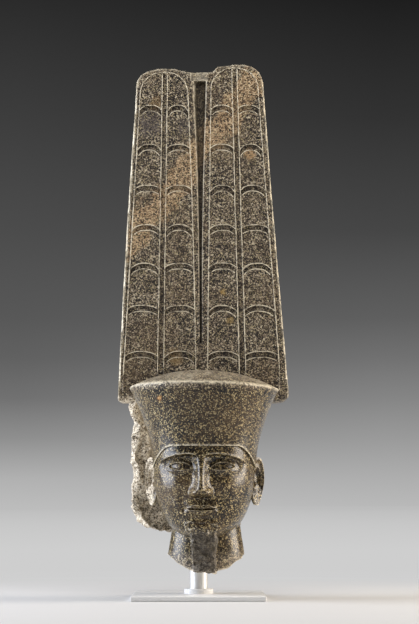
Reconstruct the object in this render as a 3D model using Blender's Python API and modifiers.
# Head of an Egyptian god in a flat cap with two tall plumes, carved from one block of
# granodiorite and broken off at the neck, held up by a round rod on a square foot with a collar.
# Metres, +Z up, the face looks along -Y. The origin is the middle of the foot's underside,
# on the rod's axis. The stone's own heights are counted from the lowest point of its neck.
import math

import bmesh
import bpy
import numpy as np
from mathutils import Vector, noise

# Display mount
FOOT_WIDTH = 0.220
FOOT_DEPTH = 0.220
FOOT_THICKNESS = 0.008
FOOT_EDGE = 0.0015
COLLAR_DIAMETER = 0.048
COLLAR_HEIGHT = 0.008
ROD_DIAMETER = 0.030
ROD_SIDES = 32
ROD_SEAT_SHARE = 0.5
ROD_SHOWING = 0.028
ROD_IN_STONE = 0.075
FIT_GAP = 0.0003

# The middle of the head, measured from the rod's axis
STONE_X = 0.0095
HEAD_Y = -0.012

# Slab of the two plumes, its rounded lower corners as (width, height), and the outline of their
# tops from left to right as (x, z)
SLAB_FRONT_Y = 0.018
SLAB_THICKNESS = 0.060
SLAB_BOTTOM_Z = 0.2845
SLAB_EDGE = 0.0025
LEFT_CORNER = (0.006, 0.007)
RIGHT_CORNER = (0.022, 0.013)
LEFT_TOP = (
    (-0.1083, 0.8360), (-0.1045, 0.8453), (-0.0983, 0.8522), (-0.0893, 0.8570), (-0.0770, 0.8602),
    (-0.0600, 0.8614), (-0.0410, 0.8608), (-0.0285, 0.8576), (-0.0115, 0.8550),
)
RIGHT_TOP = (
    (0.0262, 0.8560), (0.0286, 0.8624), (0.0345, 0.8652), (0.0554, 0.8675), (0.0721, 0.8685),
    (0.0876, 0.8664), (0.0982, 0.8605), (0.1066, 0.8498), (0.1112, 0.8350),
)

# The plumes' long lines as (height, x)
LEFT_EDGE = ((0.2845, -0.1385), (0.4590, -0.1308), (0.6310, -0.1213), (0.8360, -0.1083))
RIGHT_EDGE = ((0.2845, 0.1545), (0.4590, 0.1400), (0.6310, 0.1262), (0.8350, 0.1112))
LEFT_BORDER = ((0.3220, -0.1290), (0.8220, -0.1010))
LEFT_SHAFT = (((0.3310, -0.0705), (0.8490, -0.0631)), ((0.3310, -0.0602), (0.8490, -0.0545)))
LEFT_INNER_BORDER = ((0.3460, -0.0050), (0.5960, -0.0108), (0.8310, -0.0196))
RIGHT_INNER_BORDER = ((0.3460, 0.0146), (0.8220, 0.0205))
RIGHT_SHAFT = (((0.3310, 0.0690), (0.8490, 0.0568)), ((0.3310, 0.0800), (0.8490, 0.0654)))
RIGHT_BORDER = ((0.3480, 0.1368), (0.8220, 0.1020))

# Slit between the plumes from its top down, as (height, left x, right x), and the low saddle above it
SLIT = (
    (0.8400, -0.0094, 0.0115), (0.7180, -0.0035, 0.0077),
    (0.5960, 0.0, 0.0051), (0.3860, 0.0025, 0.0042),
)
SLIT_DEPTH = 0.020
SADDLE_DEPTH = 0.005
SADDLE_WIDER = 0.004
SADDLE_LAP = 0.0005

# Carving of the vanes: double arched bands, sunk shafts and border lines
BAND_PEAKS_Z = (0.7966, 0.7282, 0.6569, 0.5889, 0.5223, 0.4497, 0.3711)
BAND_HEIGHT = 0.0105
BAND_DROP = 0.011
BAND_STEPS = 6
BAND_CLEAR = 0.0030
CARVING_DEPTH = 0.0014
BORDER_LINE = 0.0016
BORDER_ARCH = (0.038, 0.036)
LEFT_BORDER_TOP_Z = 0.8545
RIGHT_BORDER_TOP_Z = 0.8620
SHAFT_TOP_Z = 0.8490
LINE_FOOT_Z = 0.3120

# Flat cap: its lower edge, its rim and its domed top. The two outlines run from the lower edge
# at the ears (0) up to the rim (1)
CAP_EDGE_FRONT_Z = 0.2070
CAP_EDGE_SIDE_Z = 0.1720
CAP_INNER = (0.075, 0.086)
CAP_LIP = 0.004
CAP_HALF_WIDTH = (
    (0.0, 0.0868), (0.22, 0.0890), (0.48, 0.0970), (0.73, 0.1093), (0.88, 0.1178), (1.0, 0.1262),
)
CAP_FRONT = ((0.0, 0.1000), (0.35, 0.1035), (0.70, 0.1110), (1.0, 0.1210))
CAP_BACK_COVER = 0.014
CAP_SQUARENESS = 2.25
CAP_COLUMNS = 44
RIM_Z = 0.3045
RIM_RISE_IN_FRONT = 0.006
RIM_FALL_TO_RIGHT = 0.0021
CAP_DOME = 0.031

# Head. Its outlines are (height up the face, size), both in shares of the face's height,
# and so are all the sizes of its carving
FACE_HEIGHT = 0.147
CHIN_Z = 0.0600
HEAD_TURN = math.radians(3.0)
HEAD_COLUMNS = 48
HEAD_ROWS = 34
HEAD_TOP = 1.08
HEAD_UNDERSIDE = -0.044
HEAD_HALF_WIDTH = (
    (-0.045, 0.03), (-0.03, 0.13), (0.0, 0.235), (0.05, 0.32), (0.12, 0.395), (0.22, 0.462), (0.34, 0.513),
    (0.48, 0.55), (0.62, 0.571), (0.75, 0.574), (0.9, 0.57), (1.05, 0.562), (1.4, 0.50),
)
HEAD_FRONT = (
    (-0.045, 0.30), (-0.03, 0.44), (0.0, 0.555), (0.05, 0.610), (0.12, 0.628), (0.22, 0.622), (0.34, 0.632),
    (0.48, 0.628), (0.62, 0.630), (0.75, 0.640), (0.9, 0.665), (1.05, 0.665), (1.4, 0.60),
)
HEAD_BACK = (
    (-0.045, 0.0), (0.0, 0.01), (0.12, 0.05), (0.22, 0.16), (0.34, 0.30), (0.48, 0.42), (0.62, 0.50),
    (0.75, 0.52), (0.9, 0.55), (1.4, 0.50),
)
HEAD_SQUARENESS = (
    (-0.045, 2.0), (0.0, 2.1), (0.12, 2.2), (0.34, 2.35), (0.62, 2.45), (0.9, 2.4), (1.4, 2.3),
)
NOSE_RIDGE = (
    (0.42, 0.0), (0.445, 0.035), (0.475, 0.105), (0.51, 0.150), (0.545, 0.152), (0.60, 0.132), (0.68, 0.103),
    (0.76, 0.074), (0.82, 0.052), (0.88, 0.026), (0.96, 0.0),
)
NOSE_WIDTH = (
    (0.42, 0.09), (0.51, 0.088), (0.60, 0.074), (0.70, 0.068), (0.80, 0.068), (0.90, 0.095), (0.96, 0.13),
)
EYE_PLACE = (0.238, 0.765)
EYE_HALF = 0.128
EYE_RISE = 0.047
EYE_FALL = 0.026
MOUTH_Z = 0.300
MOUTH_HALF = 0.178
UPPER_LIP = 0.058
LOWER_LIP = 0.062

# Neck and its break, which rises from the front to the sides and the back
NECK_X = 0.0125
NECK_HALF_WIDTH = 0.0575
NECK_FLARE = 0.0068
NECK_FRONT = 0.046
NECK_FRONT_FLARE = 0.010
NECK_BACK = 0.050
NECK_SQUARENESS = 2.1
NECK_TOP_Z = 0.1360
THROAT_Z = 0.0560
BREAK_SIDE_RISE = 0.029
BREAK_BACK_RISE = 0.050
BREAK_HOLLOW = 0.016
BREAK_HOLLOW_BACK = 0.010
BREAK_BULGE = 0.006
BREAK_ROUGHNESS = 0.003
BREAK_GRAIN = 0.018
NECK_COLUMNS = 32

# Scar of the lost beard: from the chin down to the break, as (share of its height, reach to the
# left, reach to the right, how far it stands out)
SCAR_TOP_Z = 0.084
SCAR_ROWS = (
    (1.0, 0.034, 0.022, 0.092), (0.81, 0.029, 0.021, 0.091), (0.63, 0.022, 0.020, 0.084),
    (0.43, 0.020, 0.020, 0.076), (0.21, 0.0196, 0.020, 0.071), (0.01, 0.019, 0.020, 0.068),
)
SCAR_ROOT = 0.035
SCAR_ROUND = 0.006
SCAR_CROWN = 0.001
SCAR_ROUGHNESS = 0.0035
SCAR_GRAIN = 0.012

# Ears: the outline is (angle from outward in degrees, reach in shares of half the ear), and the
# front is (share of the outline, share of the hollow's depth)
EAR_HEIGHT = 0.082
EAR_WIDTH = 0.037
EAR_THICKNESS = 0.011
EAR_HOLLOW = 0.008
EAR_Z = 0.1500
EAR_ROOT = 0.0825
EAR_SUNK = 0.008
EAR_BEHIND = 0.004
EAR_SPREAD = math.radians(44)
EAR_COLUMNS = 18
EAR_OUTLINE = (
    (-180, 0.78), (-150, 0.80), (-120, 0.92), (-90, 0.97), (-60, 0.82), (-30, 0.80), (0, 0.90), (30, 1.0),
    (60, 1.06), (90, 1.0), (120, 0.93), (150, 0.85), (180, 0.78),
)
EAR_FRONT = ((0.15, 1.0), (0.42, 0.85), (0.60, 0.25), (0.76, 0.45), (0.88, 0.05), (1.0, 0.12))
EAR_BACK = ((1.0, 0.65), (0.8, 1.0), (0.3, 1.2))

# Back pillar, and the broken remains of a wider slab beside it. The remains' rows are (share of
# their height, how far the left side stands in, depth of the front). The corners of their section
# are (share of the width, distance in from the left, distance back from the front or on from the back)
PILLAR_HALF_WIDTH = 0.062
PILLAR_PROUD = 0.010
PILLAR_DEPTH = 0.060
PILLAR_EDGE = 0.002
PILLAR_BOTTOM_Z = 0.0740
PILLAR_TOP_Z = 0.8400
REMAINS_LEFT_X = -0.113
REMAINS_RIGHT_X = -0.0205
REMAINS_TOP_Z = 0.3010
REMAINS_BOTTOM_Z = 0.0680
REMAINS_BACK_Y = 0.084
REMAINS_ROUGHNESS = 0.005
REMAINS_GRAIN = 0.025
REMAINS_FRONT = (
    (1.0, 0.0, 0.016), (0.45, 0.0, 0.012), (0.15, 0.0, 0.004), (0.0, 0.007, 0.0), (0.0, 0.0, 0.006),
    (0.0, -0.001, 0.022),
)
REMAINS_REAR = ((0.0, 0.003, 0.032), (0.0, 0.010, 0.016), (0.0, 0.022, 0.002), (1.0, 0.0, 0.0))
REMAINS_ROWS = (
    (1.0, 0.0, 0.022), (0.88, 0.0, 0.016), (0.74, 0.003, 0.010), (0.59, 0.001, 0.008), (0.44, 0.0, 0.010),
    (0.29, 0.002, 0.012), (0.16, 0.004, 0.014), (0.086, 0.012, 0.016), (0.034, 0.030, 0.020),
    (0.0, 0.058, 0.026),
)

STONE_COLOUR = (0.075, 0.066, 0.055, 1.0)
STEEL_COLOUR = (0.55, 0.55, 0.55, 1.0)
FOOT_COLOUR = (0.70, 0.70, 0.69, 1.0)

# How far a cutter stands out of what it cuts
CUTTER_PROUD = 0.004
SMOOTH_ANGLE = math.radians(40)
# The exact solver leaves small cracks where the rough shapes meet the carved slab
STONE_SOLVER = "MANIFOLD"


def make_collection(name, inside=None):
    collection = bpy.data.collections.new(name)
    (inside or bpy.context.scene.collection).children.link(collection)
    return collection


def make_material(name, colour, roughness, metallic):
    material = bpy.data.materials.new(name)
    material.use_nodes = True
    shader = material.node_tree.nodes["Principled BSDF"]
    shader.inputs["Base Color"].default_value = colour
    shader.inputs["Roughness"].default_value = roughness
    shader.inputs["Metallic"].default_value = metallic
    return material


def make_object(name, mesh, collection, helper=False, parent=None):
    """An object for a mesh. A helper is a shape that is joined to or cut from another one."""
    mesh.name = name
    mesh.shade_smooth()
    mesh.set_sharp_from_angle(angle=SMOOTH_ANGLE)
    obj = bpy.data.objects.new(name, mesh)
    collection.objects.link(obj)
    obj.parent = parent
    obj.hide_render = helper
    obj.display_type = "WIRE" if helper else "TEXTURED"
    return obj


def clean_up(mesh):
    """Welds loose caps, makes every face flat and turns all faces outwards."""
    shape = bmesh.new()
    shape.from_mesh(mesh)
    bmesh.ops.remove_doubles(shape, verts=shape.verts, dist=0.00001)
    bmesh.ops.triangulate(shape, faces=shape.faces)
    bmesh.ops.recalc_face_normals(shape, faces=shape.faces)
    if shape.calc_volume(signed=True) < 0:
        bmesh.ops.reverse_faces(shape, faces=shape.faces)
    shape.to_mesh(mesh)
    shape.free()


def skin(name, rings):
    """A closed mesh through rings of equal count, with a fan over each end."""
    rows, columns = rings.shape[:2]
    points = [*rings.reshape(-1, 3), rings[0].mean(0), rings[-1].mean(0)]
    top, bottom = rows * columns, rows * columns + 1
    last_row = (rows - 1) * columns
    faces = []
    for column in range(columns):
        after = (column + 1) % columns
        faces.append((top, after, column))
        faces.append((bottom, last_row + column, last_row + after))
        for row in range(0, last_row, columns):
            faces.append((row + column, row + after, row + columns + after, row + columns + column))
    mesh = bpy.data.meshes.new(name)
    mesh.from_pydata([tuple(map(float, point)) for point in points], [], faces)
    clean_up(mesh)
    return mesh


def plate(name, outlines, front_y, depth):
    """A closed mesh of flat outlines in X and Z, from front_y backwards."""
    curve = bpy.data.curves.new(name, "CURVE")
    curve.dimensions = "2D"
    curve.fill_mode = "BOTH"
    curve.extrude = depth / 2
    for outline in outlines:
        spline = curve.splines.new("POLY")
        spline.points.add(len(outline) - 1)
        for point, (x, z) in zip(spline.points, outline):
            point.co = (x, z, 0, 1)
        spline.use_cyclic_u = True
    drawn = bpy.data.objects.new(name, curve)
    bpy.context.scene.collection.objects.link(drawn)
    drawn.location = (0, front_y + depth / 2, 0)
    drawn.rotation_euler = (math.radians(90), 0, 0)
    bpy.context.view_layer.update()
    evaluated = drawn.evaluated_get(bpy.context.evaluated_depsgraph_get())
    mesh = bpy.data.meshes.new_from_object(evaluated)
    mesh.transform(drawn.matrix_world)
    bpy.data.objects.remove(drawn)
    clean_up(mesh)
    return mesh


def add_bevel(obj, width, angle):
    bevel = obj.modifiers.new("worn edges", "BEVEL")
    bevel.width = width
    bevel.segments = 2
    bevel.limit_method = "ANGLE"
    bevel.angle_limit = math.radians(angle)


def add_boolean(target, operands, operation, solver="EXACT"):
    """Cuts every object of the operands' collection from the target, or joins them all to it."""
    modifier = target.modifiers.new(operands.name, "BOOLEAN")
    modifier.operation = operation
    modifier.solver = solver
    modifier.operand_type = "COLLECTION"
    modifier.collection = operands


def curve_through(knots, at):
    """A smooth curve through (place, value) knots."""
    places, values = np.array(knots, float).T
    slopes = np.gradient(values, places)
    at = np.clip(np.asarray(at, float), places[0], places[-1])
    i = np.clip(np.searchsorted(places, at) - 1, 0, len(places) - 2)
    span = places[i + 1] - places[i]
    t = (at - places[i]) / span
    start = (2 * t**3 - 3 * t**2 + 1) * values[i] + (t**3 - 2 * t**2 + t) * span * slopes[i]
    end = (3 * t**2 - 2 * t**3) * values[i + 1] + (t**3 - t**2) * span * slopes[i + 1]
    return start + end


def soft_step(at, width):
    """0 below zero and 1 above it, soft over the width."""
    t = np.clip(at / width + 0.5, 0, 1)
    return t * t * (3 - 2 * t)


def mound(x, z, middle, radii, power=2.0):
    reach = ((x - middle[0]) / radii[0]) ** 2 + ((z - middle[1]) / radii[1]) ** 2
    return np.exp(-(reach ** (power / 2)))


def spread(count, start, end, density):
    """count values from start to end, closer together where the density is high."""
    fine = np.linspace(start, end, 2000)
    weight = np.cumsum(density(fine))
    weight = (weight - weight[0]) / (weight[-1] - weight[0])
    return np.interp(np.linspace(0, 1, count), weight, fine)


def roughen(rings, amount, grain, seed):
    """Broken stone: moves every point by a steady noise, with lumps about as big as the grain."""
    moved = rings.copy()
    for index in np.ndindex(rings.shape[:2]):
        place = Vector(rings[index]) / grain
        for axis in range(3):
            moved[index][axis] += 2 * amount * noise.noise(place + Vector((seed, 7.3 * axis, 0)))
    return moved


def head_ring(half_width, reach, angle, squareness, z):
    """One ring round the head's axis. Angle 0 faces forward."""
    sideways = np.abs(np.sin(angle)) ** squareness
    forward = reach * (1 - sideways) ** (1 / squareness) * np.sign(np.cos(angle))
    x = STONE_X + half_width * np.sin(angle)
    return np.stack([x, HEAD_Y - forward, np.broadcast_to(z, angle.shape)], -1)


def around(count):
    return np.linspace(-math.pi, math.pi, count + 1)[:-1]


def line_x(line, z):
    """x of one of the plumes' long lines at a height."""
    return float(curve_through(line, z))


def slab_side(line, corner, outward):
    """One side of the slab, from its bottom round the lower corner and up to where the top starts."""
    points = []
    for turn in np.radians((0, 22.5, 45, 67.5, 90)):
        z = SLAB_BOTTOM_Z + corner[1] * (1 - math.cos(turn))
        points.append((line_x(line, z) - outward * corner[0] * (1 - math.sin(turn)), z))
    return points + [(line_x(line, z), z) for z, _ in line[1:-1]]


def slab_outline():
    left = slab_side(LEFT_EDGE, LEFT_CORNER, -1)
    right = slab_side(RIGHT_EDGE, RIGHT_CORNER, 1)
    return [*left, *LEFT_TOP, *RIGHT_TOP, *right[::-1]]


def slit_outline():
    left = [(x, z) for z, x, _ in SLIT]
    right = [(x, z) for z, _, x in SLIT]
    return left + right[::-1]


def saddle_outline():
    """The gap between the two plumes' tops, down to the top of the slit."""
    low_z = SLIT[0][0] - SADDLE_LAP
    high_z = RIGHT_TOP[0][1] + CUTTER_PROUD
    left, right = SLIT[0][1] - SADDLE_WIDER, SLIT[0][2] + SADDLE_WIDER
    return [(left, low_z), (right, low_z), (right, high_z), (left, high_z)]


def vanes():
    """The four vanes, each as its two side lines."""
    return (
        (LEFT_BORDER, LEFT_SHAFT[0]),
        (LEFT_SHAFT[1], LEFT_INNER_BORDER),
        (RIGHT_INNER_BORDER, RIGHT_SHAFT[0]),
        (RIGHT_SHAFT[1], RIGHT_BORDER),
    )


def band_outline(vane, peak_z):
    """One arched band across a vane: an upper arc and a lower one below it."""
    outline = []
    for z, way in ((peak_z, 1), (peak_z - BAND_HEIGHT, -1)):
        low = line_x(vane[0], z) + BAND_CLEAR
        high = line_x(vane[1], z) - BAND_CLEAR
        for t in np.linspace(-1, 1, BAND_STEPS + 1)[::way]:
            x = (low + high) / 2 + t * (high - low) / 2
            outline.append((x, z - BAND_DROP * abs(t) ** 2.4))
    return outline


def shaft_outline(shaft):
    left, right = shaft
    corners = ((left, LINE_FOOT_Z), (left, SHAFT_TOP_Z), (right, SHAFT_TOP_Z), (right, LINE_FOOT_Z))
    return [(line_x(side, z), z) for side, z in corners]


def border_path(outer, inner, top_z, inset):
    """Up one side of a plume, over its top in a flat arch and down the other side."""
    way = 1 if line_x(inner, top_z) > line_x(outer, top_z) else -1
    spring_z = top_z - BORDER_ARCH[1]
    sides = []
    for line, inward in ((outer, way), (inner, -way)):
        straight = np.linspace(LINE_FOOT_Z, spring_z, 6)[:-1]
        side = [(line_x(line, z) + inward * inset, z) for z in straight]
        for turn in np.radians((0, 22.5, 45, 67.5, 90)):
            across = inset + (BORDER_ARCH[0] - inset) * (1 - math.cos(turn))
            up = (BORDER_ARCH[1] - inset) * math.sin(turn)
            side.append((line_x(line, spring_z) + inward * across, spring_z + up))
        sides.append(side)
    return sides[0] + sides[1][::-1]


def border_outline(outer, inner, top_z):
    return border_path(outer, inner, top_z, 0.0) + border_path(outer, inner, top_z, BORDER_LINE)[::-1]


def carving():
    """Everything sunk in the plumes' face, as one mesh of separate bodies."""
    outlines = [band_outline(vane, z) for vane in vanes() for z in BAND_PEAKS_Z]
    outlines += [shaft_outline(LEFT_SHAFT), shaft_outline(RIGHT_SHAFT)]
    outlines.append(border_outline(LEFT_BORDER, LEFT_INNER_BORDER, LEFT_BORDER_TOP_Z))
    outlines.append(border_outline(RIGHT_BORDER, RIGHT_INNER_BORDER, RIGHT_BORDER_TOP_Z))
    return plate("vane_carving", outlines, SLAB_FRONT_Y - CUTTER_PROUD, CUTTER_PROUD + CARVING_DEPTH)


def cap():
    """The flaring cap, from its lower edge over the brow up to the rim and the domed top."""
    angle = around(CAP_COLUMNS)
    in_front = np.cos(angle) > 0
    back = SLAB_FRONT_Y + SLAB_THICKNESS - CAP_BACK_COVER - HEAD_Y
    side = soft_step(np.abs(angle) - math.radians(62), math.radians(52))
    edge_z = CAP_EDGE_FRONT_Z - (CAP_EDGE_FRONT_Z - CAP_EDGE_SIDE_Z) * side
    rim_z = RIM_Z + RIM_RISE_IN_FRONT * np.cos(angle) - RIM_FALL_TO_RIGHT * np.sin(angle)
    inner_reach = np.where(in_front, CAP_INNER[1], back * 0.8)
    rings = [head_ring(CAP_INNER[0], inner_reach, angle, CAP_SQUARENESS, edge_z + CAP_LIP)]
    for share in (0.0, 0.12, 0.3, 0.5, 0.7, 0.88, 1.0):
        z = edge_z + (rim_z - edge_z) * share
        height = (z - CAP_EDGE_SIDE_Z) / (RIM_Z - CAP_EDGE_SIDE_Z)
        reach = np.where(in_front, curve_through(CAP_FRONT, height), back)
        rings.append(head_ring(curve_through(CAP_HALF_WIDTH, height), reach, angle, CAP_SQUARENESS, z))
    rim = rings[-1]
    middle = np.array([STONE_X, HEAD_Y, 0.0])
    for share in (0.8, 0.5, 0.2):
        ring = rim * share + middle * (1 - share)
        ring[:, 2] = RIM_Z + (rim_z - RIM_Z) * share + CAP_DOME * (1 - share**2.2)
        rings.append(ring)
    return skin("cap", np.array(rings))


def eyes(s, h):
    """Sockets under the brows, lids over the balls of the eyes, and the open eyes."""
    brow = 0.902 - 0.85 * (s - 0.17) ** 2
    socket = soft_step(brow - h, 0.035) * np.where(h < 0.80, np.exp(-(((h - 0.80) / 0.095) ** 2)), 1.0)
    out = -0.050 * socket * soft_step(s - 0.085, 0.11) * (1 - soft_step(s - 0.44, 0.16))
    ball = ((s - EYE_PLACE[0]) / 0.180) ** 2 + ((h - EYE_PLACE[1] + 0.002) / 0.085) ** 2
    out = out + 0.040 * np.clip(1 - ball, 0, 1) ** 0.9
    across = (s - EYE_PLACE[0]) / EYE_HALF
    opened = np.clip(1 - across**2, 0, 1)
    upper = EYE_PLACE[1] + 0.010 * across + EYE_RISE * opened**0.85
    lower = EYE_PLACE[1] + 0.010 * across - EYE_FALL * opened**0.8
    inside = soft_step(upper - h, 0.010) * soft_step(h - lower, 0.010) * (np.abs(across) < 1)
    lid = np.exp(-(((h - upper - 0.012) / 0.014) ** 2)) * np.clip(1.1 - across**2, 0, 1) ** 0.5
    return out - 0.020 * inside + 0.008 * lid


def nose(s, h):
    """The ridge from the brow to the tip, the wings beside it and the nostrils under them."""
    ridge = np.where((h < 0.42) | (h > 0.96), 0, curve_through(NOSE_RIDGE, h))
    out = ridge * np.exp(-((s / curve_through(NOSE_WIDTH, h)) ** 2.4))
    out = out + 0.062 * mound(s, h, (0.088, 0.487), (0.048, 0.040), 2.6)
    return out - 0.040 * mound(s, h, (0.045, 0.446), (0.028, 0.016))


def mouth_and_chin(s, h):
    """A swelling round the mouth, the two lips, the line between them and the chin."""
    out = 0.022 * mound(s, h, (0.0, MOUTH_Z + 0.01), (0.21, 0.115))
    across = np.clip(s / MOUTH_HALF, 0, 1)
    line = MOUTH_Z + 0.006 * across**2
    bow = UPPER_LIP * (1 - across**2.2) ** 0.8
    full = LOWER_LIP * (1 - across**2.4) ** 0.7
    within = (s < MOUTH_HALF) * (1 - across**2) ** 0.5
    out = out + 0.022 * within * soft_step(line + bow - h, 0.012) * soft_step(h - line, 0.010)
    out = out + 0.022 * within * soft_step(line - h, 0.010) * soft_step(h - line + full, 0.016)
    out = out - 0.016 * np.exp(-(((h - line) / 0.009) ** 2)) * (s < MOUTH_HALF)
    out = out - 0.020 * mound(s, h, (0.0, 0.192), (0.14, 0.034))
    return out + 0.024 * mound(s, h, (0.0, 0.085), (0.14, 0.075))


def cheeks(s, h):
    out = 0.022 * mound(s, h, (0.30, 0.57), (0.15, 0.12))
    return out - 0.014 * mound(s, h, (0.215, 0.40), (0.055, 0.11))


def row_density(h):
    """Rows of the head stand closer at the eyes, the nose's end, the mouth and the chin."""
    density = 0.10 + 0.9 * (h < 1.0)
    closer = ((0.775, 0.06, 1.2), (0.46, 0.045, 0.9), (0.30, 0.06, 1.0), (-0.03, 0.03, 1.0))
    for place, width, more in closer:
        density = density + more * np.exp(-(((h - place) / width) ** 2))
    return density


def head():
    angle = spread(HEAD_COLUMNS + 1, -math.pi, math.pi, lambda t: 0.16 + np.exp(-((t / 0.85) ** 4)))[:-1]
    angle, h = np.meshgrid(angle, spread(HEAD_ROWS, HEAD_TOP, HEAD_UNDERSIDE, row_density))
    squareness = curve_through(HEAD_SQUARENESS, h)
    reach = np.where(np.cos(angle) > 0, curve_through(HEAD_FRONT, h), curve_through(HEAD_BACK, h))
    forward = reach * (1 - np.abs(np.sin(angle)) ** squareness) ** (1 / squareness) * np.sign(np.cos(angle))
    x = curve_through(HEAD_HALF_WIDTH, h) * np.sin(angle)
    s = np.abs(x)
    carved = eyes(s, h) + nose(s, h) + mouth_and_chin(s, h) + cheeks(s, h)
    forward = forward + carved * soft_step(np.cos(angle) - 0.12, 0.3)
    turned_x = x * math.cos(HEAD_TURN) - forward * math.sin(HEAD_TURN)
    turned_forward = forward * math.cos(HEAD_TURN) + x * math.sin(HEAD_TURN)
    points = (
        STONE_X + turned_x * FACE_HEIGHT,
        HEAD_Y - turned_forward * FACE_HEIGHT,
        CHIN_Z + h * FACE_HEIGHT,
    )
    return skin("head", np.stack(points, -1))


def neck():
    """The neck down to its break, whose underside is a rough shallow hollow."""
    angle = around(NECK_COLUMNS)
    in_front = np.clip(np.cos(angle), 0, 1)
    behind = np.clip(-np.cos(angle), 0, 1)
    side = np.where(in_front > 0, np.abs(np.sin(angle)) ** 2.2, 1)
    break_z = BREAK_SIDE_RISE * side + (BREAK_BACK_RISE - BREAK_SIDE_RISE) * behind
    rings = []
    for height, widen in ((1.0, 0.0), (0.25, 0.0), (0.0, 0.35), (-0.55, 0.75), (-1.0, 1.0)):
        z = THROAT_Z + (NECK_TOP_Z - THROAT_Z) * height
        if height < 0:
            z = THROAT_Z + (THROAT_Z - break_z) * height
        reach = np.where(np.cos(angle) > 0, NECK_FRONT + NECK_FRONT_FLARE * widen, NECK_BACK)
        ring = head_ring(NECK_HALF_WIDTH + NECK_FLARE * widen, reach, angle, NECK_SQUARENESS, z)
        rings.append(ring + [NECK_X - STONE_X, 0, 0])
    middle = np.array([NECK_X, HEAD_Y + BREAK_HOLLOW_BACK, BREAK_HOLLOW])
    edge = rings[-1]
    for share in (0.86, 0.55, 0.25):
        ring = edge * share + middle * (1 - share)
        ring[:, 2] -= BREAK_BULGE * math.sin(math.pi * share) * (1 - 0.5 * in_front)
        rings.append(ring)
    rings = np.array(rings)
    rings[4:] = roughen(rings[4:], BREAK_ROUGHNESS, BREAK_GRAIN, 3)
    return skin("neck", rings)


def beard_scar():
    """The rough stump left on the neck where the long beard broke away."""
    rings = []
    for height, left, right, out in SCAR_ROWS:
        outline = (
            (-left, SCAR_ROOT), (-left, out - SCAR_ROUND), (-left * 0.8, out - SCAR_CROWN),
            (-left * 0.3, out), (right * 0.3, out + SCAR_CROWN), (right * 0.85, out - SCAR_CROWN),
            (right, out - SCAR_ROUND), (right, SCAR_ROOT),
        )
        z = SCAR_TOP_Z * height
        rings.append([(STONE_X + x, HEAD_Y - forward, z) for x, forward in outline])
    rings = np.array(rings)
    rings[:, 1:-1] = roughen(rings[:, 1:-1], SCAR_ROUGHNESS, SCAR_GRAIN, 11)
    return skin("beard_scar", rings)


def ear(name, side):
    """A free-standing ear: rim, groove and hollow on its front, plain behind. Side is -1 or 1."""
    turn = np.linspace(-180, 180, EAR_COLUMNS + 1)[:-1]
    outline = curve_through(EAR_OUTLINE, turn)
    turn = np.radians(turn)
    across = np.array([side * math.cos(EAR_SPREAD), math.sin(EAR_SPREAD), 0])
    out = np.array([side * math.sin(EAR_SPREAD), -math.cos(EAR_SPREAD), 0])
    up = np.array([0, 0, 1])
    root = np.array([STONE_X + side * EAR_ROOT, HEAD_Y + EAR_BEHIND, EAR_Z])
    lobe = soft_step(-np.sin(turn) - 0.55, 0.3)
    rows = [(share, -EAR_HOLLOW * hollow * (1 - 0.8 * lobe)) for share, hollow in EAR_FRONT]
    rows += [(share, -EAR_THICKNESS * deep * np.ones_like(turn)) for share, deep in EAR_BACK]
    rings = []
    for share, depth in rows:
        away = EAR_WIDTH / 2 * (1 + outline * share * np.cos(turn)) - EAR_SUNK
        height = EAR_HEIGHT / 2 * outline * share * np.sin(turn)
        rings.append(root + np.outer(away, across) + np.outer(depth, out) + np.outer(height, up))
    return skin(name, np.array(rings))


def broken_back():
    """The rough mass left beside the head where a wider back slab broke away."""
    rings = []
    for height, inset, front in REMAINS_ROWS:
        left = REMAINS_LEFT_X + inset
        width = REMAINS_RIGHT_X - left
        z = REMAINS_BOTTOM_Z + (REMAINS_TOP_Z - REMAINS_BOTTOM_Z) * height
        ring = [(left + width * share + inward, front + back, z) for share, inward, back in REMAINS_FRONT]
        ring += [
            (left + width * share + inward, REMAINS_BACK_Y - forward, z)
            for share, inward, forward in REMAINS_REAR
        ]
        rings.append(ring)
    rings = np.array(rings)
    rings[:, 1:-1] = roughen(rings[:, 1:-1], REMAINS_ROUGHNESS, REMAINS_GRAIN, 21)
    return skin("broken_back", rings)


def pillar_outline():
    left, right = STONE_X - PILLAR_HALF_WIDTH, STONE_X + PILLAR_HALF_WIDTH
    return [(left, PILLAR_BOTTOM_Z), (right, PILLAR_BOTTOM_Z), (right, PILLAR_TOP_Z), (left, PILLAR_TOP_Z)]


def round_bar(name, radius, low_z, high_z):
    mesh = bpy.data.meshes.new(name)
    shape = bmesh.new()
    size = {"segments": ROD_SIDES, "radius1": radius, "radius2": radius, "depth": high_z - low_z}
    bmesh.ops.create_cone(shape, cap_ends=True, **size)
    bmesh.ops.translate(shape, verts=shape.verts, vec=(0, 0, (low_z + high_z) / 2))
    shape.to_mesh(mesh)
    shape.free()
    return mesh


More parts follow.
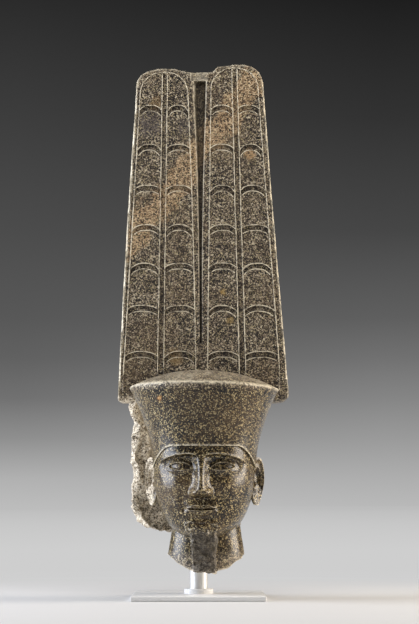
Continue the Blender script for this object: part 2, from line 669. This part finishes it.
def stone_head(parts, helpers, material):
    """The one carved stone: the slab of the plumes with all else cut into it or joined to it."""
    place = bpy.data.objects.new("stone_place", None)
    parts.objects.link(place)
    place.location = (0, 0, FOOT_THICKNESS + COLLAR_HEIGHT + ROD_SHOWING)
    slab = plate("stone_head", [slab_outline()], SLAB_FRONT_Y, SLAB_THICKNESS)
    stone = make_object("stone_head", slab, parts, parent=place)
    stone.data.materials.append(material)
    add_bevel(stone, SLAB_EDGE, 50)

    cutter_front = SLAB_FRONT_Y - CUTTER_PROUD
    cutters = {
        "vane_carving": carving(),
        "slit": plate("slit", [slit_outline()], cutter_front, CUTTER_PROUD + SLIT_DEPTH),
        "saddle": plate("saddle", [saddle_outline()], cutter_front, CUTTER_PROUD + SADDLE_DEPTH),
    }
    slab_cutters = make_collection("cut from the slab", helpers)
    for name, mesh in cutters.items():
        make_object(name, mesh, slab_cutters, True, place)
    add_boolean(stone, slab_cutters, "DIFFERENCE", STONE_SOLVER)

    pillar_back = SLAB_FRONT_Y + SLAB_THICKNESS + PILLAR_PROUD
    joined = {
        "back_pillar": plate("back_pillar", [pillar_outline()], pillar_back - PILLAR_DEPTH, PILLAR_DEPTH),
        "broken_back": broken_back(),
        "neck": neck(),
        "head": head(),
        "cap": cap(),
        "beard_scar": beard_scar(),
        "left_ear": ear("left_ear", -1),
        "right_ear": ear("right_ear", 1),
    }
    joined_shapes = make_collection("joined to the slab", helpers)
    for name, mesh in joined.items():
        shape = make_object(name, mesh, joined_shapes, True, place)
        if name == "back_pillar":
            add_bevel(shape, PILLAR_EDGE, 50)
    add_boolean(stone, joined_shapes, "UNION", STONE_SOLVER)

    socket = round_bar("rod_socket", ROD_DIAMETER / 2 + FIT_GAP, -ROD_DIAMETER, ROD_IN_STONE + FIT_GAP)
    socket_cutter = make_collection("cut from the neck", helpers)
    make_object("rod_socket", socket, socket_cutter, True, place)
    add_boolean(stone, socket_cutter, "DIFFERENCE", STONE_SOLVER)


def mount_rod(parts, material):
    seat_z = FOOT_THICKNESS * ROD_SEAT_SHARE
    top_z = FOOT_THICKNESS + COLLAR_HEIGHT + ROD_SHOWING + ROD_IN_STONE
    rod = make_object("mount_rod", round_bar("mount_rod", ROD_DIAMETER / 2, seat_z, top_z), parts)
    rod.data.materials.append(material)


def mount_foot(parts, helpers, material):
    mesh = bpy.data.meshes.new("mount_foot")
    shape = bmesh.new()
    bmesh.ops.create_cube(shape, size=1)
    bmesh.ops.scale(shape, vec=(FOOT_WIDTH, FOOT_DEPTH, FOOT_THICKNESS), verts=shape.verts)
    bmesh.ops.translate(shape, vec=(0, 0, FOOT_THICKNESS / 2), verts=shape.verts)
    shape.to_mesh(mesh)
    shape.free()
    foot = make_object("mount_foot", mesh, parts)
    foot.data.materials.append(material)
    add_bevel(foot, FOOT_EDGE, 30)
    collar_top = FOOT_THICKNESS + COLLAR_HEIGHT
    collar = round_bar("collar", COLLAR_DIAMETER / 2, FOOT_THICKNESS / 2, collar_top)
    joined_collar = make_collection("joined to the foot", helpers)
    add_bevel(make_object("collar", collar, joined_collar, True), FOOT_EDGE / 2, 30)
    add_boolean(foot, joined_collar, "UNION")
    recess_floor = FOOT_THICKNESS * ROD_SEAT_SHARE - FIT_GAP
    recess = round_bar("rod_recess", ROD_DIAMETER / 2 + FIT_GAP, recess_floor, collar_top + CUTTER_PROUD)
    foot_cutter = make_collection("cut from the foot", helpers)
    make_object("rod_recess", recess, foot_cutter, True)
    add_boolean(foot, foot_cutter, "DIFFERENCE")


def main():
    for obj in list(bpy.data.objects):
        bpy.data.objects.remove(obj)
    parts = make_collection("amun head sculpture")
    helpers = make_collection("cutters and joined shapes")
    stone_head(parts, helpers, make_material("granodiorite", STONE_COLOUR, 0.45, 0.0))
    mount_rod(parts, make_material("satin steel", STEEL_COLOUR, 0.4, 0.9))
    mount_foot(parts, helpers, make_material("pale enamelled steel", FOOT_COLOUR, 0.5, 0.0))


main()
